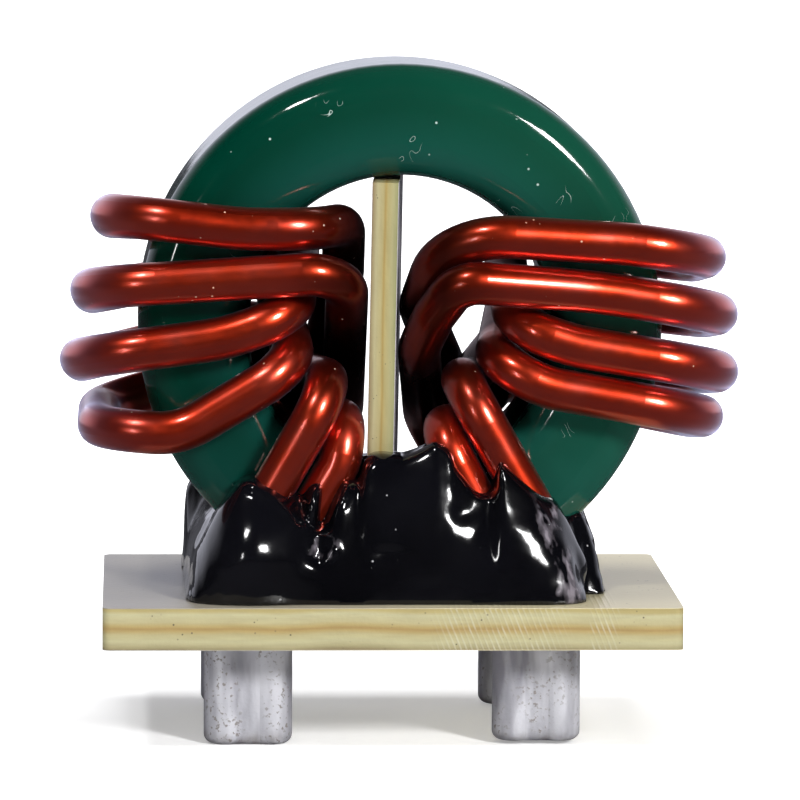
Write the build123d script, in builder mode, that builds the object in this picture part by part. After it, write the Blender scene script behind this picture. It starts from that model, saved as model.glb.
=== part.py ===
from build123d import *
import os

# Toroidal inductor with two windings of thick wire, standing upright on a laminate plate.
# Millimetres, +Z up, the front faces -Y. The origin is the centre of the plate's underside.

os.makedirs("parts", exist_ok=True)

# Base plate
plate_width = 27.3
plate_depth = 20.0
plate_thickness = 2.0
plate_corner_radius = 0.4
slot_length = 4.3
slot_width = 2.2

# Core: a coated ring that stands on edge, its axis along Y
core_x = 0.5
core_z = 14.7
core_outer_radius = 12.5
core_bore_radius = 7.2
core_height = 10.0
core_edge_radius = 1.6

# Separator board in the bore, leaning and turned a little as it was pushed in
board_thickness = 1.27
board_depth = 11.6
board_bottom_z = 7.65
board_top_z = 21.68
board_mid_x = -0.08
board_lean = 0.87
board_turn = -3.4

# Winding wire and its bends
wire_diameter = 2.05
front_y = -6.12
back_y = 6.12
lead_bend = 2.2
bore_bend = 2.1
loop_bend = 3.2
edge_rise = 1.35
sweep_bend = 4.0

# Pins: each is a pair of stripped wire ends under one coat of solder
pin_pitch = 2.1
left_pin_x = -6.76
right_pin_x = 6.94
bare_diameter = 1.9
strip_z = 0.8
coat_thickness = 0.1
coat_diameter = bare_diameter + 2 * coat_thickness
valley_width = 1.85
coat_tip_radius = 0.45
tip_cover = 0.3
front_left_tip_z = -4.95
front_right_tip_z = -4.8
back_left_tip_z = -4.85
back_right_tip_z = -4.9

# Epoxy: horizontal sections as (height, left, right, front, back)
mound_sections = (
    (plate_thickness, -9.75, 10.1, -9.3, 8.6),
    (3.6, -9.45, 9.7, -9.0, 8.3),
    (5.2, -8.9, 8.8, -8.7, 8.0),
    (6.9, -7.8, 7.2, -8.2, 7.5),
)
front_ridge_sections = (
    (5.2, -8.7, 8.5, -8.7, -4.2),
    (6.9, -7.75, 7.1, -8.3, -4.3),
    (7.9, -5.6, 6.1, -8.0, -4.4),
    (8.7, -1.5, 5.2, -7.6, -4.6),
    (9.3, 0.3, 3.2, -7.1, -5.1),
)
back_ridge_sections = (
    (5.2, -8.2, 8.2, 4.2, 8.0),
    (6.9, -6.9, 6.9, 4.3, 7.9),
    (7.4, -5.8, 5.8, 4.6, 7.6),
)
mound_corner_radius = 2.6
ridge_corner_radius = 0.95


def lead_from_pin(x, tip_z, y, rise_z):
    """The straight end of a wire in its pin, and the bend above the plate."""
    return [(x, y, tip_z + tip_cover, 0), (x, y, rise_z, lead_bend)]


def through_bore(entry, exit_xz, middle=None, entry_bend=bore_bend, middle_bend=sweep_bend):
    """In at the bore's front, along it, and out at its back."""
    points = [(*entry, entry_bend)]
    if middle:
        points.append((*middle, middle_bend))
    points.append((exit_xz[0], back_y, exit_xz[1], bore_bend))
    return points


def round_the_edge(x, z, kink_xz=None, kink_bend=6.0, rise=edge_rise, front_bend=loop_bend):
    """Outward across the back, round the core's outer edge as it rises to the front, and inward."""
    points = [(x, back_y, z - rise, loop_bend), (x, front_y, z, front_bend)]
    if kink_xz:
        points.append((kink_xz[0], front_y, kink_xz[1], kink_bend))
    return points


def lead_to_pin(x, tip_z, y, rise_z):
    """The same end as lead_from_pin, met from above."""
    return list(reversed(lead_from_pin(x, tip_z, y, rise_z)))


def wound_wire(label, route, pin_x, front_tip_z, back_tip_z):
    """Sweep a wire along straight runs joined by tangent arcs, then strip its two ends."""
    corners = [(x, y, z) for x, y, z, bend in route]
    bends = [bend for x, y, z, bend in route[1:-1]]
    with BuildPart() as wire:
        with BuildLine() as path:
            FilletPolyline(*corners, radius=bends)
        with BuildSketch(Plane.XY.offset(corners[0][2])):
            with Locations((corners[0][0], corners[0][1])):
                Circle(wire_diameter / 2)
        sweep(path=path.line)
        for y, tip_z in ((front_y, front_tip_z), (back_y, back_tip_z)):
            with BuildSketch(Plane.XY.offset(tip_z)):
                with Locations((pin_x, y)):
                    Circle(wire_diameter)
                    Circle(bare_diameter / 2, mode=Mode.SUBTRACT)
            extrude(amount=strip_z - tip_z, mode=Mode.SUBTRACT)
    wire.part.label = label
    export_step(wire.part, f"parts/{label}.step")
    return wire.part


# Each winding's outer wire joins the outer ends of its pins, and the inner wire the inner ends
left_outer_x = left_pin_x - pin_pitch / 2
left_inner_x = left_pin_x + pin_pitch / 2
right_outer_x = right_pin_x + pin_pitch / 2
right_inner_x = right_pin_x - pin_pitch / 2

left_outer_route = (
    lead_from_pin(left_outer_x, front_left_tip_z, front_y, 3.35)
    + through_bore((-2.71, -7.02, 12.38), (-5.96, 14.29), middle=(-3.83, -0.17, 12.09))
    + round_the_edge(-14.7, 13.4, kink_xz=(-7.7, 14.35), kink_bend=10.0)
    + through_bore((-4.64, -6.03, 15.54), (-4.03, 18.86))
    + round_the_edge(-13.25, 20.2, kink_xz=(-7.0, 19.5), kink_bend=20.0, rise=1.1)
    + [(-3.7, -6.12, 19.5, 3.0)]
    + through_bore(
        (-2.2, -3.6, 19.55), (-3.22, 11.51), middle=(-2.14, -0.37, 16.97), entry_bend=1.8, middle_bend=3.5
    )
    + lead_to_pin(left_outer_x, back_left_tip_z, back_y, 3.75)
)
left_inner_route = (
    lead_from_pin(left_inner_x, front_left_tip_z, front_y, 2.7)
    + [(-2.45, front_y, 8.4, 2.0)]
    + through_bore((-2.12, -5.82, 10.29), (-5.74, 12.0), middle=(-3.02, 0.43, 10.22), entry_bend=1.7)
    + round_the_edge(-13.85, 10.0, kink_xz=(-10.0, 9.78), kink_bend=3.8, rise=0.0, front_bend=2.6)
    + through_bore((-4.53, -6.32, 13.11), (-5.65, 17.16))
    + round_the_edge(-14.2, 16.72)
    + through_bore(
        (-2.12, -6.62, 17.53), (-1.92, 9.39), middle=(-2.07, -3.55, 15.4), entry_bend=2.0, middle_bend=1.3
    )
    + lead_to_pin(left_inner_x, back_left_tip_z, back_y, 3.15)
)
right_outer_route = (
    lead_from_pin(right_outer_x, front_right_tip_z, front_y, 4.1)
    + through_bore((3.14, -6.26, 12.57), (6.01, 13.38), middle=(3.8, -1.2, 11.78))
    + round_the_edge(15.7, 12.82, kink_xz=(8.6, 14.0), kink_bend=9.0)
    + through_bore((5.82, -6.05, 14.99), (5.86, 18.44))
    + round_the_edge(15.06, 18.3, kink_xz=(11.0, 18.85), kink_bend=14.0)
    + [(2.48, -6.77, 19.37, 3.47)]
    + through_bore(
        (1.53, -2.59, 15.8), (3.4, 11.2), middle=(1.6, 0.05, 15.2), entry_bend=2.82, middle_bend=4.44
    )
    + lead_to_pin(right_outer_x, back_right_tip_z, back_y, 3.9)
)
right_inner_route = (
    lead_from_pin(right_inner_x, front_right_tip_z, front_y, 3.0)
    + through_bore((2.2, -6.05, 10.1), (5.99, 11.27), middle=(3.6, -0.6, 9.73), entry_bend=1.7)
    + round_the_edge(15.0, 10.67, kink_xz=(7.4, 12.0), kink_bend=5.0)
    + through_bore((4.86, -6.09, 13.15), (6.23, 15.46))
    + round_the_edge(15.65, 15.57, kink_xz=(10.0, 16.55), kink_bend=25.0)
    + [(3.16, -7.28, 17.13, 1.41), (2.05, -5.53, 15.4, 1.62)]
    + through_bore((1.38, -3.7, 13.7), (2.11, 9.21), entry_bend=3.95)
    + lead_to_pin(right_inner_x, back_right_tip_z, back_y, 3.3)
)

wires = [
    wound_wire("left_winding_outer_wire", left_outer_route, left_outer_x, front_left_tip_z, back_left_tip_z),
    wound_wire("left_winding_inner_wire", left_inner_route, left_inner_x, front_left_tip_z, back_left_tip_z),
    wound_wire(
        "right_winding_outer_wire", right_outer_route, right_outer_x, front_right_tip_z, back_right_tip_z
    ),
    wound_wire(
        "right_winding_inner_wire", right_inner_route, right_inner_x, front_right_tip_z, back_right_tip_z
    ),
]

# Base plate with a slot for each pair of wire ends
with BuildPart() as base_plate:
    with BuildSketch():
        Rectangle(plate_width, plate_depth)
        fillet(vertices(), plate_corner_radius)
        with Locations([(x, y) for x in (left_pin_x, right_pin_x) for y in (front_y, back_y)]):
            SlotOverall(slot_length, slot_width, mode=Mode.SUBTRACT)
    extrude(amount=plate_thickness)
base_plate.part.label = "base_plate"
export_step(base_plate.part, "parts/base_plate.step")

# Toroid core, with rounded edges under its coating
core_plane = Plane(origin=(core_x, 0, core_z), x_dir=(1, 0, 0), z_dir=(0, 0, 1))
with BuildPart() as toroid_core:
    with BuildSketch(core_plane):
        with Locations(((core_outer_radius + core_bore_radius) / 2, 0)):
            RectangleRounded(core_outer_radius - core_bore_radius, core_height, core_edge_radius)
    revolve(axis=Axis((core_x, 0, core_z), (0, 1, 0)))
toroid_core.part.label = "toroid_core"
export_step(toroid_core.part, "parts/toroid_core.step")

# Separator board, cut from the same kind of laminate as the plate
with BuildPart() as separator_board:
    board_middle = (board_mid_x, 0, (board_bottom_z + board_top_z) / 2)
    with Locations(Location(board_middle, (0, board_lean, board_turn))):
        Box(board_thickness, board_depth, board_top_z - board_bottom_z)
separator_board.part.label = "separator_board"
export_step(separator_board.part, "parts/separator_board.step")

# Solder coats: two rounds with the valley between them partly filled, closed below the wire ends
pins = (
    ("front_left_pin_solder", left_pin_x, front_y, front_left_tip_z),
    ("front_right_pin_solder", right_pin_x, front_y, front_right_tip_z),
    ("back_left_pin_solder", left_pin_x, back_y, back_left_tip_z),
    ("back_right_pin_solder", right_pin_x, back_y, back_right_tip_z),
)
for label, x, y, tip_z in pins:
    with BuildPart() as solder:
        with BuildSketch(Plane.XY.offset(tip_z)):
            with Locations((x - pin_pitch / 2, y), (x + pin_pitch / 2, y)):
                Circle(coat_diameter / 2)
            with Locations((x, y)):
                Rectangle(pin_pitch, valley_width)
        extrude(amount=strip_z - tip_z)
        fillet(solder.faces().sort_by(Axis.Z)[0].edges(), coat_tip_radius)
        with BuildSketch(Plane.XY.offset(tip_z + tip_cover)):
            with Locations((x - pin_pitch / 2, y), (x + pin_pitch / 2, y)):
                Circle(bare_diameter / 2)
        extrude(amount=strip_z - tip_z, mode=Mode.SUBTRACT)
    solder.part.label = label
    export_step(solder.part, f"parts/{label}.step")


# Epoxy: a mound under the core and a ridge over the leads at the front and the back
with BuildPart() as epoxy_mound:
    for height, left, right, front, back in mound_sections:
        with BuildSketch(Plane.XY.offset(height)):
            with Locations(((left + right) / 2, (front + back) / 2)):
                RectangleRounded(right - left, back - front, mound_corner_radius)
    loft()
    for height, left, right, front, back in front_ridge_sections:
        with BuildSketch(Plane.XY.offset(height)):
            with Locations(((left + right) / 2, (front + back) / 2)):
                RectangleRounded(right - left, back - front, ridge_corner_radius)
    loft()
    for height, left, right, front, back in back_ridge_sections:
        with BuildSketch(Plane.XY.offset(height)):
            with Locations(((left + right) / 2, (front + back) / 2)):
                RectangleRounded(right - left, back - front, ridge_corner_radius)
    loft()
    add(toroid_core.part, mode=Mode.SUBTRACT)
    add(separator_board.part, mode=Mode.SUBTRACT)
    for wire in wires:
        add(wire, mode=Mode.SUBTRACT)
epoxy_mound.part.label = "epoxy_mound"
export_step(epoxy_mound.part, "parts/epoxy_mound.step")
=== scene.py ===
import math

import bpy
import numpy as np
from mathutils import Matrix, Vector


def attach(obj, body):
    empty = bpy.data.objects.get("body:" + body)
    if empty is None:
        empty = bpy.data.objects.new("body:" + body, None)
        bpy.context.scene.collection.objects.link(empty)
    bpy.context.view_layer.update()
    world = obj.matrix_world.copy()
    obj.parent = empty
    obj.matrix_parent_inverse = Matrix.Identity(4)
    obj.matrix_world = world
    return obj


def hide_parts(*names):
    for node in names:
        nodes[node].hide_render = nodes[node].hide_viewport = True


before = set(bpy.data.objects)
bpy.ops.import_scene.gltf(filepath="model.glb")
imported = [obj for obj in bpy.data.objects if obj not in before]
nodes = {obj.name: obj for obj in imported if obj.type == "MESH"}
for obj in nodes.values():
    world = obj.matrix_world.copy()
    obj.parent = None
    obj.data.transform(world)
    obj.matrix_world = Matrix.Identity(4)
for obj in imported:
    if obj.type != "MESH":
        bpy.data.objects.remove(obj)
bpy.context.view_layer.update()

# Places are in metres, apart from the camera's and the epoxy's, which are in millimetres
MM = 0.001

# Camera, placed as in the photo: from a little left of the front and a little above
CAMERA_PLACE = (-12.397, -311.812, 43.334)
LENS = 292.5
SENSOR_WIDTH = 36
CLIP_END = 20
AZIMUTH = math.radians(2.397)
ELEVATION = math.radians(5.956)
ROLL = math.radians(0.291)

forward = Vector(
    (math.sin(AZIMUTH) * math.cos(ELEVATION), math.cos(AZIMUTH) * math.cos(ELEVATION), -math.sin(ELEVATION))
)
level_right = forward.cross(Vector((0, 0, 1))).normalized()
level_up = level_right.cross(forward)
right = level_right * math.cos(ROLL) + level_up * math.sin(ROLL)
up = level_up * math.cos(ROLL) - level_right * math.sin(ROLL)
camera_data = bpy.data.cameras.new("camera")
camera_data.sensor_width = SENSOR_WIDTH
camera_data.lens = LENS
camera_data.clip_end = CLIP_END
camera = bpy.data.objects.new("camera", camera_data)
camera.matrix_world = Matrix.Translation(Vector(CAMERA_PLACE) * MM) @ Matrix(
    (
        (right.x, up.x, -forward.x, 0),
        (right.y, up.y, -forward.y, 0),
        (right.z, up.z, -forward.z, 0),
        (0, 0, 0, 1),
    )
)
bpy.context.scene.collection.objects.link(camera)
bpy.context.scene.camera = camera
bpy.context.scene.view_settings.view_transform = "Standard"


class Tree:
    """The node tree of a material or world, with short calls for the nodes used here."""

    def __init__(self, owner, shader="Principled BSDF", coordinate="Object"):
        owner.use_nodes = True
        self.owner = owner
        self.nodes = owner.node_tree.nodes
        self.links = owner.node_tree.links
        self.shader = self.nodes[shader]
        self.place = self.nodes.new("ShaderNodeTexCoord").outputs[coordinate]

    def put(self, socket, value):
        """Sets a socket to a constant, or links another socket to it."""
        if isinstance(value, bpy.types.NodeSocket):
            self.links.new(value, socket)
        elif isinstance(value, tuple) and len(value) == 3 and socket.type == "RGBA":
            socket.default_value = (*value, 1)
        else:
            socket.default_value = value

    def set(self, **values):
        """Sets the shader's own sockets, named with _ for a space."""
        for name, value in values.items():
            self.put(self.shader.inputs[name.replace("_", " ")], value)

    def axis(self, name):
        """One coordinate of the part's own frame, in metres, or of the world's direction."""
        node = self.nodes.new("ShaderNodeSeparateXYZ")
        self.put(node.inputs[0], self.place)
        return node.outputs[name]

    def reach(self, centre=(0, 0, 0), weights=(1, 1, 1)):
        """Distance from a point, in metres; an axis with a weight of 0 doesn't count."""
        value = self.place
        for operation, vector in (("SUBTRACT", centre), ("MULTIPLY", weights), ("LENGTH", None)):
            node = self.nodes.new("ShaderNodeVectorMath")
            node.operation = operation
            self.put(node.inputs[0], value)
            if vector:
                node.inputs[1].default_value = vector
            value = node.outputs[0]
        return node.outputs["Value"]

    def along(self, direction):
        """How far the place lies along a direction, in metres."""
        node = self.nodes.new("ShaderNodeVectorMath")
        node.operation = "DOT_PRODUCT"
        self.put(node.inputs[0], self.place)
        node.inputs[1].default_value = direction
        return node.outputs["Value"]

    def stretch(self, scale):
        """The place with each axis scaled: a small factor draws a texture out along that axis."""
        node = self.nodes.new("ShaderNodeMapping")
        self.put(node.inputs["Vector"], self.place)
        node.inputs["Scale"].default_value = scale
        return node.outputs[0]

    def noise(self, scale, detail=2.0, place=None, distortion=0.0):
        """Noise whose features are about 1 / scale metres wide."""
        node = self.nodes.new("ShaderNodeTexNoise")
        self.put(node.inputs["Vector"], place or self.place)
        node.inputs["Scale"].default_value = scale
        node.inputs["Detail"].default_value = detail
        node.inputs["Distortion"].default_value = distortion
        return node.outputs["Factor" if "Factor" in node.outputs else "Fac"]

    def cells(self, scale):
        """Distance from the nearest of points scattered about 1 / scale metres apart."""
        node = self.nodes.new("ShaderNodeTexVoronoi")
        self.put(node.inputs["Vector"], self.place)
        node.inputs["Scale"].default_value = scale
        return node.outputs["Distance"]

    def math(self, operation, a, b=0.0):
        node = self.nodes.new("ShaderNodeMath")
        node.operation = operation
        self.put(node.inputs[0], a)
        self.put(node.inputs[1], b)
        return node.outputs[0]

    def plus(self, a, b):
        return self.math("ADD", a, b)

    def times(self, a, b):
        return self.math("MULTIPLY", a, b)

    def off(self, value, centre):
        """How far a value is from a centre, either way."""
        return self.math("ABSOLUTE", self.math("SUBTRACT", value, centre))

    def span(self, value, low, high, to_low=0.0, to_high=1.0):
        """Maps low..high to to_low..to_high, and clamps."""
        node = self.nodes.new("ShaderNodeMapRange")
        self.put(node.inputs["Value"], value)
        for socket, number in zip(("From Min", "From Max", "To Min", "To Max"), (low, high, to_low, to_high)):
            self.put(node.inputs[socket], number)
        return node.outputs[0]

    def mix(self, amount, a, b):
        """Colour a, turning to colour b as amount goes to 1."""
        node = self.nodes.new("ShaderNodeMix")
        node.data_type = "RGBA"
        self.put(node.inputs["Factor"], amount)
        self.put(node.inputs[6], a)
        self.put(node.inputs[7], b)
        return node.outputs[2]

    def ramp(self, value, stops):
        """Screen colours at positions from 0 to 1: each stop is (position, (r, g, b))."""
        node = self.nodes.new("ShaderNodeValToRGB")
        self.put(node.inputs[0], value)
        elements = node.color_ramp.elements
        while len(elements) < len(stops):
            elements.new(1.0)
        for element, (position, colour) in zip(elements, stops):
            element.position = position
            element.color = (*linear(*colour), 1)
        return node.outputs[0]

    def bump(self, height, distance, strength, under=None):
        """A bumped normal, in metres, on top of the one given as under."""
        node = self.nodes.new("ShaderNodeBump")
        self.put(node.inputs["Height"], height)
        node.inputs["Distance"].default_value = distance
        node.inputs["Strength"].default_value = strength
        if under:
            self.put(node.inputs["Normal"], under)
        return node.outputs[0]


def linear(r, g, b):
    """A screen colour, 0 to 255, as the linear one that shaders take."""
    return tuple(c / 255 / 12.92 if c <= 10 else ((c / 255 + 0.055) / 1.055) ** 2.4 for c in (r, g, b))


def tinted(t, colour, change, amount=1.0):
    """The colour made lighter or darker by a factor of 1 + change * amount."""
    node = t.nodes.new("ShaderNodeVectorMath")
    node.operation = "SCALE"
    t.put(node.inputs[0], colour)
    t.put(node.inputs["Scale"], t.plus(t.times(change, amount), 1.0))
    return node.outputs[0]


def specks(t, scale, rim, groups, group_rim):
    """1 on small round marks in loose groups, where the noise called groups is high; 0 elsewhere."""
    return t.times(t.span(t.cells(scale), *rim, 1, 0), t.span(groups, *group_rim))


def dark_specks(t, scale, share):
    """Small dark marks on about that share of the surface."""
    return specks(t, scale, (0.08, 0.16), t.noise(scale / 5, 2), (1 - share - 0.04, 1 - share + 0.02))


def fibres(t, scale, stretch):
    """Fine streaks of glass cloth, from -1 to 1."""
    return t.span(t.noise(scale, 3, t.stretch(stretch)), 0.3, 0.7, -1, 1)


# Places of the solids that the materials follow
CORE_CENTRE = (0.0005, 0, 0.0147)
BORE_MIDDLE = 0.0002
PLATE_TOP = 0.002
BOARD_HALF = 0.000635
BOARD_NORMAL = (0.9981, -0.0593, -0.0152)
BOARD_OFFSET = 0.000302

# Layers of a cut edge, through the plate from below and through the separator board from the left
PLATE_LAYERS = (
    (0.0, (158, 142, 100)), (0.08, (190, 180, 132)), (0.2, (212, 205, 158)), (0.36, (206, 195, 142)),
    (0.44, (200, 176, 112)), (0.5, (190, 158, 94)), (0.57, (202, 180, 116)), (0.66, (210, 199, 148)),
    (0.84, (215, 208, 162)), (0.92, (204, 188, 124)), (1.0, (192, 174, 112)),
)
BOARD_LAYERS = (
    (0.0, (140, 118, 84)), (0.08, (168, 150, 106)), (0.2, (196, 186, 138)), (0.42, (192, 178, 120)),
    (0.5, (182, 154, 80)), (0.58, (190, 174, 112)), (0.78, (188, 181, 128)), (0.93, (168, 166, 112)),
    (1.0, (148, 148, 106)),
)


def enamelled_copper():
    """Red-brown enamelled wire with painted shade that makes it almost black in the bore, and a pale sheen at
    the loops' outer ends.
    """
    t = Tree(bpy.data.materials.new("enamelled_copper"))
    x, y, z = t.axis("X"), t.axis("Y"), t.axis("Z")
    grain = t.noise(2600, 4)
    colour = t.mix(t.span(t.noise(220, 2), 0.35, 0.7), (0.46, 0.035, 0.008), (0.57, 0.056, 0.015))
    # lit is 1 in the open, and falls on the tight turns into the bore and on the wire inside it: painted
    # shade, which darkens the colour and dulls the coat and edge reflection there
    turned = t.span(t.off(x, BORE_MIDDLE), 0.0022, 0.0052, 0.16, 1)
    lit = t.math("MAXIMUM", turned, t.span(z, 0.0105, 0.0135, 1, 0))
    bore = t.times(t.span(t.math("ABSOLUTE", x), 0.0062, 0.008, 1, 0), t.span(y, -0.0046, -0.0026))
    lit = t.times(lit, t.span(t.times(bore, t.span(z, 0.0085, 0.0105)), 0, 1, 1, 0.15))
    colour = t.mix(lit, (0.06, 0.009, 0.004), colour)
    dust = specks(t, 1500, (0.05, 0.09), t.noise(900, 0), (0.56, 0.6))
    t.set(Base_Color=t.mix(dust, colour, (0.7, 0.6, 0.52)), Metallic=t.span(dust, 0, 1, 0.95, 0.2))
    t.set(Roughness=t.span(grain, 0.3, 0.7, 0.28, 0.35), Specular_IOR_Level=0.2)
    t.set(Specular_Tint=t.mix(lit, (0.15, 0.1, 0.1), (1.0, 1.0, 1.0)))
    t.set(Coat_Weight=t.span(lit, 0, 1, 0.12, 1), Coat_IOR=1.55, Coat_Tint=(1.0, 0.75, 0.6))
    t.set(Coat_Roughness=t.span(t.noise(420, 2), 0.4, 0.65, 0.15, 0.26))
    ends = t.span(t.math("ABSOLUTE", x), 0.0115, 0.0148, 0.04, 1.0)
    t.set(Sheen_Weight=t.times(lit, ends), Sheen_Tint=(0.66, 0.68, 1.0), Sheen_Roughness=0.35)
    t.set(Normal=t.bump(grain, 0.00001, 0.25), Coat_Normal=t.bump(t.noise(500, 2), 0.00004, 0.2))
    return t.owner


def core_coating():
    """Glossy green, with painted light that pales it to the right and a painted bluish reflection near the
    bore and low down, and specks and curls of dust.
    """
    t = Tree(bpy.data.materials.new("core_coating"))
    colour = t.mix(t.span(t.noise(140, 3), 0.3, 0.75), linear(0, 39, 29), linear(0, 49, 36))
    # painted light: the green turns paler to the right
    painted_light_right = t.span(t.axis("X"), -0.008, 0.012, 0, 0.4)
    colour = t.mix(painted_light_right, colour, linear(30, 86, 66))
    # painted reflection: a bluish tint near the bore and low down
    inner = t.span(t.reach(CORE_CENTRE, (1, 0, 1)), 0.0078, 0.0104, 0.4, 0)
    bluish = t.math("MAXIMUM", inner, t.span(t.axis("Z"), 0.003, 0.0125, 0.5, 0))
    colour = t.mix(bluish, colour, linear(24, 78, 72))
    dots = specks(t, 1100, (0.04, 0.08), t.noise(700, 0), (0.6, 0.63))
    curls = t.span(t.off(t.noise(900, 0, distortion=1.5), 0.5), 0.002, 0.006, 1, 0)
    curls = t.times(curls, t.span(t.noise(420, 0), 0.7, 0.72))
    dust = t.math("MAXIMUM", dots, curls)
    t.set(Base_Color=t.mix(dust, colour, linear(165, 185, 178)))
    t.set(Roughness=t.span(t.noise(900, 3), 0.3, 0.7, 0.06, 0.11), IOR=1.45)
    peel = t.bump(t.noise(900, 2), 0.00004, 0.25)
    t.set(Normal=t.bump(t.noise(160, 1), 0.0003, 0.15, under=peel))
    return t.owner


def laminate():
    """Glass-epoxy plate: cloth layers, golden resin and saw marks on the cut edge, a weave and painted shade
    on the faces.
    """
    t = Tree(bpy.data.materials.new("laminate"))
    x, y, z = t.axis("X"), t.axis("Y"), t.axis("Z")
    sway = t.span(t.noise(110, 2, t.stretch((1, 1, 0.1))), 0, 1, -0.0003, 0.0003)
    layers = t.ramp(t.span(t.plus(z, sway), 0, PLATE_TOP), PLATE_LAYERS)
    layers = tinted(t, layers, fibres(t, 5000, (0.12, 0.12, 1)), 0.07)
    # slanting saw marks in a wide and a narrow patch
    stroke = t.plus(t.times(t.plus(x, t.times(z, 0.4)), 24000), t.noise(900, 1))
    wide = t.times(t.span(x, 0.0016, 0.003), t.span(x, 0.0066, 0.0086, 1, 0))
    narrow = t.times(t.span(x, 0.0091, 0.0095), t.span(x, 0.0102, 0.0107, 1, 0))
    sawn = t.times(t.math("MAXIMUM", wide, narrow), t.span(t.math("SINE", stroke), 0.1, 0.9))
    whitened = t.times(sawn, t.span(t.noise(1300, 2), 0.38, 0.62, 0.05, 0.5))
    layers = t.mix(whitened, layers, linear(232, 228, 200))
    # the faces, with a faint weave, and painted shade that greys them at the left
    weave = t.times(t.math("SINE", t.times(x, 9000)), t.math("SINE", t.times(y, 9000)))
    beyond_painted_shade = t.span(t.plus(x, t.span(t.noise(150, 2), 0, 1, -0.004, 0.004)), -0.013, 0.006)
    face = tinted(t, t.mix(beyond_painted_shade, linear(154, 149, 141), linear(218, 208, 172)), weave, 0.02)
    flat = t.math("MAXIMUM", t.span(z, 0.00195, 0.00199), t.span(z, 0.00001, 0.00005, 1, 0))
    colour = t.mix(flat, tinted(t, layers, -0.46), tinted(t, face, -0.22))
    t.set(Base_Color=t.mix(dark_specks(t, 2600, 0.42), colour, linear(84, 74, 56)))
    t.set(Roughness=t.span(flat, 0, 1, 0.6, 0.33))
    t.set(Normal=t.bump(t.plus(t.noise(3500, 3), t.times(sawn, 0.6)), 0.00004, 0.5))
    return t.owner


def laminate_board():
    """The same kind of board on edge: its layers stand side by side across the thickness."""
    t = Tree(bpy.data.materials.new("laminate_board"))
    across = t.plus(t.along(BOARD_NORMAL), BOARD_OFFSET)
    sway = t.span(t.noise(120, 2), 0, 1, -0.0001, 0.0001)
    layers = t.ramp(t.span(t.plus(across, sway), -BOARD_HALF, BOARD_HALF), BOARD_LAYERS)
    layers = tinted(t, layers, fibres(t, 5000, (1, 1, 0.1)), 0.07)
    face = tinted(t, linear(176, 172, 178), t.span(t.noise(2200, 3), 0.3, 0.7, -1, 1), 0.12)
    flat = t.span(t.math("ABSOLUTE", across), 0.0006, 0.000625)
    colour = t.mix(flat, tinted(t, layers, -0.42), face)
    t.set(Base_Color=t.mix(dark_specks(t, 4200, 0.4), colour, linear(84, 76, 60)))
    t.set(Roughness=t.span(flat, 0, 1, 0.55, 0.22), Normal=t.bump(t.noise(3500, 3), 0.00003, 0.5))
    return t.owner


def solder_coat():
    """Dull tin, streaked from top to bottom, pitted in patches and stained near the tips."""
    t = Tree(bpy.data.materials.new("solder"))
    grain = t.noise(5200, 4)
    patches = t.span(t.noise(650, 2, t.stretch((1, 1, 0.45))), 0.44, 0.6)
    pits = t.times(t.span(grain, 0.57, 0.64), patches)
    streaks = t.span(t.noise(900, 3, t.stretch((1, 1, 0.2))), 0.38, 0.62)
    colour = t.mix(streaks, linear(148, 147, 157), linear(214, 214, 221))
    stain = t.times(t.span(t.axis("Z"), -0.005, -0.0041, 0.75, 0), t.span(t.noise(1500, 3), 0.3, 0.7))
    colour = t.mix(stain, colour, linear(112, 98, 86))
    t.set(Base_Color=t.mix(pits, colour, linear(132, 126, 124)), Metallic=t.span(pits, 0, 1, 0.45, 0.1))
    t.set(Roughness=t.span(t.noise(700, 3), 0.3, 0.7, 0.3, 0.48))
    runs = t.bump(t.noise(900, 2, t.stretch((1, 1, 0.35))), 0.00016, 0.5)
    t.set(Normal=t.bump(grain, 0.00004, 0.5, under=runs))
    return t.owner


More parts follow.
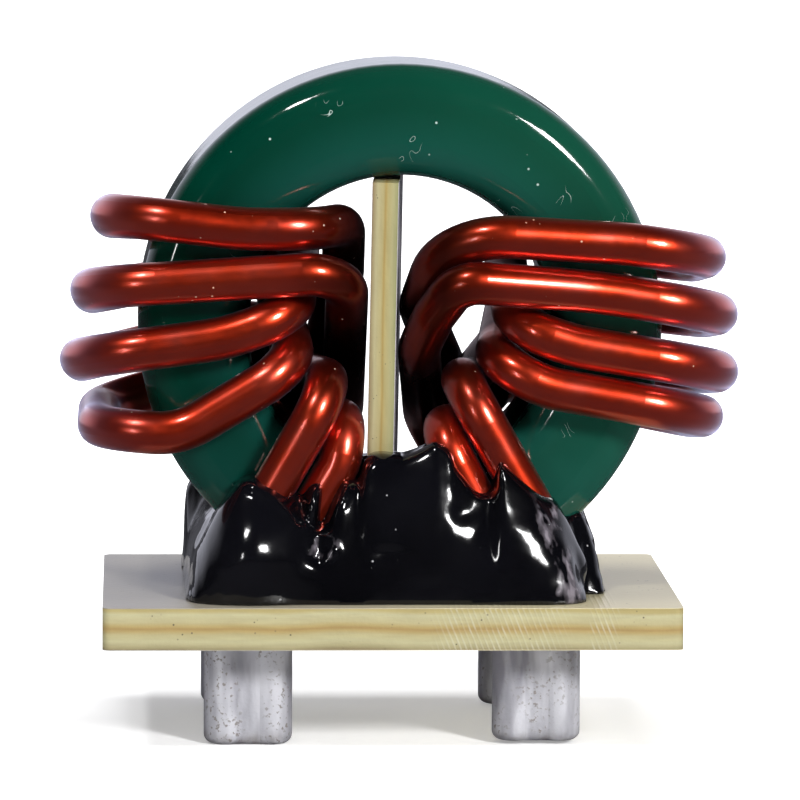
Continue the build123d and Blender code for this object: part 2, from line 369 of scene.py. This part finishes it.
def potting_epoxy():
    """Glossy black resin with dust; pale and rougher down the right side of the front, a painted highlight,
    and at the front wrinkles, pale film with a painted highlight.
    """
    t = Tree(bpy.data.materials.new("potting_epoxy"))
    x, y, z = t.axis("X"), t.axis("Y"), t.axis("Z")
    ragged = t.span(t.noise(900, 3), 0.3, 0.7, -0.0004, 0.0004)
    ragged_x = t.plus(x, ragged)
    # painted highlight: the right flank's pale line, which leans to the left as it rises
    flank = t.span(t.off(ragged_x, t.plus(t.times(z, -0.28), 0.00905)), 0.0001, 0.0005, 1, 0)
    flank = t.times(flank, t.span(z, 0.0062, 0.0072, 1, 0))
    flank = t.times(flank, t.span(y, -0.0045, -0.0035, 1, 0))
    # pale film with a painted highlight on the folds, which are round on the front
    fold_x = t.math("POWER", t.math("DIVIDE", t.plus(ragged_x, 0.0033), 0.0006), 2.0)
    fold_z = t.math("POWER", t.math("DIVIDE", t.plus(z, -0.0047), 0.0006), 2.0)
    folds = t.span(t.plus(fold_x, fold_z), 0.1, 1.1, 0.8, 0)
    folds = t.times(folds, t.span(y, -0.007, -0.006, 1, 0))
    streaks = t.span(t.noise(1700, 2, t.stretch((1, 1, 0.35))), 0.4, 0.6)
    # the painted highlight and pale film together, paler and rougher
    skin_and_painted_highlight = t.times(t.math("MAXIMUM", flank, folds), streaks)
    resin = t.mix(t.span(t.noise(200, 2), 0.4, 0.7), linear(4, 4, 6), linear(9, 9, 13))
    colour = t.mix(skin_and_painted_highlight, resin, linear(118, 112, 120))
    dust = specks(t, 1300, (0.04, 0.08), t.noise(800, 0), (0.56, 0.6))
    t.set(Base_Color=t.mix(dust, colour, linear(150, 150, 152)))
    gloss = t.span(t.noise(260, 3), 0.35, 0.7, 0.07, 0.16)
    t.set(Roughness=t.plus(gloss, t.times(skin_and_painted_highlight, 0.25)), IOR=1.47)
    flow = t.bump(t.noise(350, 1), 0.0001, 0.25)
    t.set(Normal=t.bump(t.noise(1100, 2), 0.00004, 0.25, under=flow))
    return t.owner


copper = enamelled_copper()
solder = solder_coat()
looks = {
    "base_plate": laminate(),
    "separator_board": laminate_board(),
    "toroid_core": core_coating(),
    "epoxy_mound": potting_epoxy(),
}
for name, node in nodes.items():
    node.data.materials.clear()
    node.data.materials.append(looks.get(name) or (copper if name.endswith("wire") else solder))


# Epoxy: the CAD mound stands for it in MuJoCo, and this piece shows its lobes, lips and creases.
# Everything from here to the floor is in millimetres.
GRID_STEP = 0.13
GRID_REACH = ((-10.6, 11.0), (-10.4, 9.2), (1.93, 10.4))
SEAT_Z = 2.0
CORE_X = 0.5
BLEND = 0.5

# Heights of the mound's upper edge along x: over the front leads, under the core and over the back leads
FRONT_TOP = (
    (-9.72, 2.0), (-9.58, 2.9), (-9.3, 4.0), (-8.74, 5.2), (-8.22, 6.2), (-7.66, 7.05), (-7.14, 7.7),
    (-6.48, 7.9), (-6.14, 7.66), (-4.82, 7.37), (-4.29, 6.9), (-3.78, 7.52), (-2.79, 7.8), (-1.6, 7.66),
    (-1.28, 8.6), (-0.85, 8.9), (-0.33, 8.94), (0.56, 8.85), (1.27, 9.13), (2.07, 9.56), (2.74, 9.14),
    (3.22, 8.33), (3.79, 7.52), (4.26, 7.19), (4.6, 7.28), (4.92, 8.18), (5.06, 8.8), (5.39, 8.57),
    (6.11, 7.85), (7.01, 7.04), (7.49, 6.47), (8.13, 5.6), (8.61, 4.7), (8.85, 3.6), (9.19, 2.7), (9.3, 1.8),
)
MIDDLE_TOP = (
    (-9.75, 2.0), (-9.6, 3.2), (-9.3, 4.4), (-8.8, 5.4), (-8.0, 6.2), (-7.0, 6.7), (-6.0, 7.0), (0.5, 7.3),
    (6.5, 6.9), (7.6, 6.4), (8.4, 5.95), (9.1, 5.9), (9.4, 5.4), (9.75, 4.4), (10.05, 3.5), (10.2, 2.8),
    (10.3, 2.0),
)
BACK_TOP = (
    (-9.75, 2.0), (-9.72, 4.2), (-9.6, 5.7), (-9.1, 6.6), (-8.2, 7.1), (-6.2, 7.35), (-4.4, 6.9),
    (-2.4, 7.3), (0.4, 7.5), (2.6, 7.3), (4.4, 6.9), (6.4, 7.35), (7.9, 6.9), (8.6, 6.0), (9.0, 4.6),
    (9.3, 3.2), (9.5, 2.0),
)
# Where the front face meets the plate: y along x
FRONT_FOOT = (
    (-9.8, -7.2), (-9.4, -8.1), (-8.8, -8.6), (-8.0, -8.85), (-6.5, -8.95), (0.0, -8.9), (6.5, -9.05),
    (7.4, -9.0), (8.2, -8.84), (8.8, -8.5), (9.3, -8.0), (9.8, -7.3), (10.2, -6.4),
)
# Marks on the front face: a path as (x, z) points, how deep it goes in at its middle (less than 0 stands
# out), its half width, and the power that shapes its sides
FRONT_MARKS = (
    # the crease from the left lead's pool down past the spur, and the spur's bared wire
    (((-4.9, 7.1), (-4.25, 6.2), (-3.8, 5.2), (-3.55, 4.4)), 0.6, 0.42, 2),
    (((-2.75, 7.9), (-2.95, 7.1), (-3.3, 5.7)), 1.5, 0.3, 2),
    # the lips around them, and the fold at their foot
    (((-7.0, 7.75), (-5.6, 7.0), (-4.75, 6.35), (-4.3, 5.6)), -0.28, 0.28, 2),
    (((-4.6, 7.25), (-4.0, 7.4), (-3.55, 7.8)), -0.3, 0.2, 2),
    (((-3.45, 7.6), (-3.85, 6.6), (-4.1, 5.6), (-3.75, 4.6)), -0.22, 0.2, 2),
    (((-2.1, 8.0), (-2.05, 7.3), (-2.45, 6.6)), -0.2, 0.22, 2),
    (((-3.7, 4.5), (-3.2, 4.15), (-2.75, 4.6)), -0.2, 0.25, 2),
    # the bared patch of the right inner wire, and the crests on both sides of it
    (((3.6, 8.6), (4.2, 7.9), (4.35, 7.6)), 0.95, 0.52, 4),
    (((1.9, 9.6), (2.6, 9.1), (3.15, 8.2), (3.6, 7.4), (4.3, 6.95)), -0.14, 0.25, 2),
    (((4.3, 9.0), (4.8, 8.8), (5.15, 8.2)), -0.2, 0.25, 2),
)
# Collars where the epoxy wets the leads and the core: start, end and the radius at the start
COLLARS = (
    ((8.0, -6.12, 3.4), (7.0, -6.15, 5.9), 1.35),
    ((9.0, -1.0, 4.0), (8.7, 3.5, 5.9), 0.95),
    ((-7.81, -6.12, 3.2), (-6.3, -6.38, 6.15), 1.45),
    ((-7.81, 6.12, 3.8), (-6.3, 6.12, 6.4), 1.35),
    ((-5.71, 6.12, 3.2), (-3.9, 6.12, 6.2), 1.3),
    ((7.99, 6.12, 3.9), (6.4, 6.12, 6.5), 1.3),
    ((5.89, 6.12, 3.3), (4.1, 6.12, 6.2), 1.3),
)


def smooth_max(a, b, k):
    """The larger of two fields, rounded where they are within k of each other."""
    h = np.clip(0.5 + 0.5 * (a - b) / k, 0, 1)
    return b + (a - b) * h + k * h * (1 - h)


def smooth_min(a, b, k):
    return -smooth_max(-a, -b, k)


def to_segment(x, y, z, start, end):
    """Distance of each point from a line segment, and how far along it the nearest place is."""
    start, end = np.array(start, float), np.array(end, float)
    run = end - start
    t = ((x - start[0]) * run[0] + (y - start[1]) * run[1] + (z - start[2]) * run[2]) / run.dot(run)
    t = np.clip(t, 0, 1)
    gap = (x - start[0] - t * run[0]) ** 2 + (y - start[1] - t * run[1]) ** 2
    return np.sqrt(gap + (z - start[2] - t * run[2]) ** 2), t


def to_path(x, z, path):
    """Distance from a path drawn on the front view, as (x, z) points."""
    gaps = [
        to_segment(x, 0 * x, z, (ax, 0, az), (bx, 0, bz))[0] for (ax, az), (bx, bz) in zip(path, path[1:])
    ]
    return np.min(gaps, axis=0)


def read_off(profile, x):
    """The second value of a profile at x, between its points."""
    table = np.array(profile)
    return np.interp(x, table[:, 0], table[:, 1])


def dome(x, z, cx, cz, rx, rz):
    """1 at a centre on the front view, falling to 0 beyond the two radii."""
    return np.exp(-(((x - cx) / rx) ** 2) - ((z - cz) / rz) ** 2)


def waves(x, y, z, seed, size, count=14):
    """Smooth seeded unevenness between about -1 and 1, with features of the given size."""
    draw = np.random.default_rng(seed)
    total = np.zeros(np.broadcast(x, y, z).shape)
    for _ in range(count):
        direction = draw.normal(size=3)
        direction *= 2 * math.pi / size * draw.uniform(0.6, 1.5) / np.linalg.norm(direction)
        total += np.sin(direction[0] * x + direction[1] * y + direction[2] * z + draw.uniform(0, 6.3))
    return total / math.sqrt(count / 2) / 2


def upper_edge(x, y):
    """Height of the mound's top: the three profiles, and a slope to the back under the bore."""
    in_front = np.clip((-4.2 - y) / 1.2, 0, 1)
    at_back = np.clip((y - 4.4) / 1.2, 0, 1)
    bore = np.clip((5.6 - np.abs(x - CORE_X)) / 1.5, 0, 1)
    slope = 8.85 + (7.4 - 8.85) * (y + 7) / 14
    middle = np.maximum(read_off(MIDDLE_TOP, x), slope * bore)
    front, back = read_off(FRONT_TOP, x) * in_front, read_off(BACK_TOP, x) * at_back
    return middle * (1 - in_front) * (1 - at_back) + front + back


def front_face(x, z, rise):
    """y of the front face, which leans back as it rises and carries the lobes and marks."""
    face = read_off(FRONT_FOOT, x) + 1.75 * rise**2.2
    face -= 0.95 * dome(x, z, -6.7, 4.6, 2.2, 2.1)
    face += 0.17 * dome(x, z, -0.2, 4.4, 0.8, 0.3) + 0.12 * dome(x, z, 3.2, 6.3, 0.5, 0.4)
    for path, depth, width, power in FRONT_MARKS:
        face += depth * np.exp(-((to_path(x, z, path) / width) ** power))
    return face


def epoxy_field(x, y, z):
    """About the distance from the epoxy's surface, negative inside it."""
    wobble = waves(x, y, z, 5, 3.8) * 0.06 + waves(x, y, z, 6, 1.3) * 0.012
    top = upper_edge(x, y)
    steep = np.abs(np.gradient(top, axis=0) / np.gradient(x, axis=0))
    over = (z - top - wobble * 0.6) / np.sqrt(1 + steep**2)
    rise = np.clip((z - SEAT_Z) / np.maximum(top - SEAT_Z, 0.8), 0, 1.2)
    front_gap = (front_face(x, z, rise) + wobble - y) * 0.85
    back = 8.45 - 0.9 * rise**2 + wobble
    field = smooth_max(over, np.maximum(front_gap, y - back), BLEND)
    for start, end, radius in COLLARS:
        gap, t = to_segment(x, y, z, start, end)
        field = smooth_min(field, gap - radius + 0.25 * t, BLEND)
    # one pass of blurring along each axis
    for axis in range(3):
        field = np.moveaxis(field, axis, 0)
        inner = field[1:-1] * 0.5 + (field[:-2] + field[2:]) * 0.25
        field = np.moveaxis(np.concatenate([field[:1], inner, field[-1:]]), 0, axis)
    return np.maximum(field, SEAT_Z - z)


def surface_mesh(name, field, axes):
    """A mesh on the zero level of a sampled field: one vertex to a crossed cell, joined by quads."""
    inside = field < 0
    cell = [slice(None, -1), slice(1, None)]
    corners = [(i, j, k) for i in (0, 1) for j in (0, 1) for k in (0, 1)]
    count = sum(inside[cell[i], cell[j], cell[k]].astype(int) for i, j, k in corners)
    crossed = (count > 0) & (count < len(corners))
    ids = np.full(crossed.shape, -1)
    ids[crossed] = np.arange(crossed.sum())
    at = np.argwhere(crossed)
    # each vertex is the mean of the places where the surface crosses its cell's edges
    total = np.zeros((len(at), 3))
    hits = np.zeros(len(at))
    for a in corners:
        for axis in range(3):
            if a[axis]:
                continue
            b = tuple(1 if n == axis else v for n, v in enumerate(a))
            fa = field[tuple((at + a).T)]
            fb = field[tuple((at + b).T)]
            hit = (fa < 0) != (fb < 0)
            t = np.where(hit, fa / np.where(hit, fa - fb, 1), 0)
            place = np.array(a, float)[None] + t[:, None] * (np.array(b) - np.array(a))[None]
            total += place * hit[:, None]
            hits += hit
    steps = [axis[1] - axis[0] for axis in axes]
    verts = np.stack([axes[n][0] + (at[:, n] + total[:, n] / hits) * steps[n] for n in range(3)], 1)
    # each grid edge that the surface crosses gives a quad between the four cells around it
    quads = []
    for axis in range(3):
        one, two = [n for n in range(3) if n != axis]
        low = [slice(1, -1)] * 3
        low[axis] = slice(None, -1)
        high = [slice(1, -1)] * 3
        high[axis] = slice(1, None)
        first, second = inside[tuple(low)], inside[tuple(high)]
        for sign, change in ((1, first & ~second), (-1, ~first & second)):
            where = np.argwhere(change)
            where[:, [one, two]] += 1
            corner = []
            for d_one, d_two in ((1, 1), (0, 1), (0, 0), (1, 0)):
                c = where.copy()
                c[:, one] -= d_one
                c[:, two] -= d_two
                corner.append(ids[tuple(c.T)])
            turn = sign if axis != 1 else -sign
            quads.append(np.stack(corner[::turn], 1))
    mesh = bpy.data.meshes.new(name)
    mesh.from_pydata((verts * MM).tolist(), [], np.concatenate(quads).tolist())
    mesh.update()
    mesh.polygons.foreach_set("use_smooth", [True] * len(mesh.polygons))
    obj = bpy.data.objects.new(name, mesh)
    bpy.context.scene.collection.objects.link(obj)
    return obj


axes = [np.arange(low, high, GRID_STEP) for low, high in GRID_REACH]
grid = np.meshgrid(*axes, indexing="ij")
epoxy = surface_mesh("epoxy", epoxy_field(*grid), axes)
epoxy.data.materials.append(looks["epoxy_mound"])
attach(epoxy, "root")
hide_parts("epoxy_mound")

# Studio, in metres again
FLOOR_SIZE = 6
FLOOR_Z = -4.96 * MM
LAMP_TARGET = Vector((0, 0, 0.013))


def floor_look():
    """White to the camera apart from the shadow, and darker in reflections."""
    t = Tree(bpy.data.materials.new("floor"))
    rays = t.nodes.new("ShaderNodeLightPath").outputs
    seen = rays["Is Camera Ray"]
    mirrored = t.mix(t.span(t.axis("Y"), -0.14, -0.02), (0.02, 0.02, 0.022), (0.07, 0.07, 0.08))
    bounced = t.mix(rays["Is Diffuse Ray"], mirrored, (0.85, 0.85, 0.85))
    t.set(Base_Color=t.mix(seen, bounced, (0.9, 0.9, 0.9)), Roughness=1.0, Specular_IOR_Level=0.0)
    far = t.span(t.reach(), 0.03, 0.12, 0.3, 1.0)
    t.set(Emission_Color=(1, 1, 1), Emission_Strength=t.times(seen, far))
    return t.owner


bpy.ops.mesh.primitive_plane_add(size=FLOOR_SIZE, location=(0, 0, FLOOR_Z))
floor = bpy.context.object
floor.name = "floor"
floor.data.materials.append(floor_look())


def area_lamp(name, place, width, height, power, mirrored=True):
    """A softbox turned to the middle of the part; mirrored ones show in reflections."""
    data = bpy.data.lights.new(name, "AREA")
    data.shape = "RECTANGLE"
    data.size = width
    data.size_y = height
    data.energy = power
    lamp = bpy.data.objects.new(name, data)
    lamp.location = place
    lamp.visible_glossy = mirrored
    lamp.rotation_euler = (LAMP_TARGET - Vector(place)).to_track_quat("-Z", "Y").to_euler()
    bpy.context.scene.collection.objects.link(lamp)


area_lamp("top_softbox", (0.0, 0.12, 0.75), 0.5, 0.5, 4.4, mirrored=False)
area_lamp("front_fill", (-0.1, -0.8, 0.5), 0.4, 0.4, 1.1, mirrored=False)
area_lamp("right_softbox", (0.32, -0.53, 0.31), 0.1, 0.14, 4.6)
area_lamp("low_left_softbox", (-0.38, -0.60, 0.13), 0.03, 0.12, 0.45)
area_lamp("left_softbox", (-0.27, -0.36, 0.60), 0.07, 0.07, 1.6)

# World: white to the camera, and to the part a dim room with a bright low wall behind it
sky = Tree(bpy.data.worlds.new("world"), "Background", "Generated")
behind = sky.span(sky.axis("Y"), 0.1, 0.6, 0.03, 0.95)
low = sky.span(sky.axis("Z"), 0.3, 0.7, 1.0, 0.1)
seen = sky.nodes.new("ShaderNodeLightPath").outputs["Is Camera Ray"]
sky.set(Color=(0.86, 0.87, 1.0), Strength=sky.math("MAXIMUM", seen, sky.times(behind, low)))
bpy.context.scene.world = sky.owner
